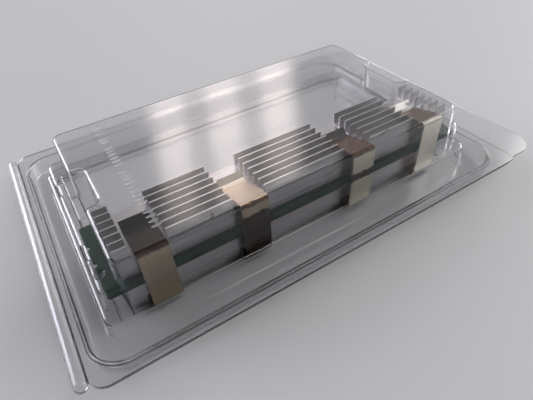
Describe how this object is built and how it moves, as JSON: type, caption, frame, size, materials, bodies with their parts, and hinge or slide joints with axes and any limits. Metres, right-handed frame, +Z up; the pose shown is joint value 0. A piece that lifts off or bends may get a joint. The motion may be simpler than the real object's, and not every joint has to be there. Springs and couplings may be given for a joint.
{
  "type": "plastic clamshell pack",
  "caption": "Clear thermoformed clamshell pack with a hinged lid, stepped dome, finger notches and opening tab, holding a finned memory module.",
  "frame": {"origin": "under the middle of the closed pack, on the table it stands on", "axes": "+X along the module, from the hinge to the opening tab; +Y from the module to the empty seat; +Z up"},
  "size_m": [0.1752, 0.1142, 0.0268],
  "materials": {
    "clear_sheet": "clear formed sheet",
    "board": "green solder mask",
    "heatsink": "extruded, milled",
    "clip": "bent spring strip",
    "chip": "moulded",
    "pad": "soft pad"
  },
  "bodies": {
    "base": {"pack_base": "clear_sheet", "circuit_board": "board", "top_heatsink": "heatsink", "bottom_heatsink": "heatsink", "spring_clip_1": "clip", "spring_clip_2": "clip", "spring_clip_3": "clip", "spring_clip_4": "clip", "buffer_chip": "chip", "id_chip": "chip", "top_memory_chip_1": "chip", "top_memory_chip_2": "chip", "top_memory_chip_3": "chip", "top_memory_chip_4": "chip", "top_memory_chip_5": "chip", "top_memory_chip_6": "chip", "top_memory_chip_7": "chip", "top_memory_chip_8": "chip", "bottom_memory_chip_1": "chip", "bottom_memory_chip_2": "chip", "bottom_memory_chip_3": "chip", "bottom_memory_chip_4": "chip", "bottom_memory_chip_5": "chip", "bottom_memory_chip_6": "chip", "bottom_memory_chip_7": "chip", "bottom_memory_chip_8": "chip", "bottom_memory_chip_9": "chip", "bottom_memory_chip_10": "chip", "top_thermal_pad": "pad", "bottom_thermal_pad": "pad"},
    "lid": {"pack_lid": "clear_sheet"}
  },
  "joints": [
    {"name": "lid_hinge", "type": "hinge", "parent": "base", "child": "lid", "pos_m": [-0.08758, 0, 0.00635], "axis": [0, -1, 0], "range_deg": [0, 140]}
  ]
}
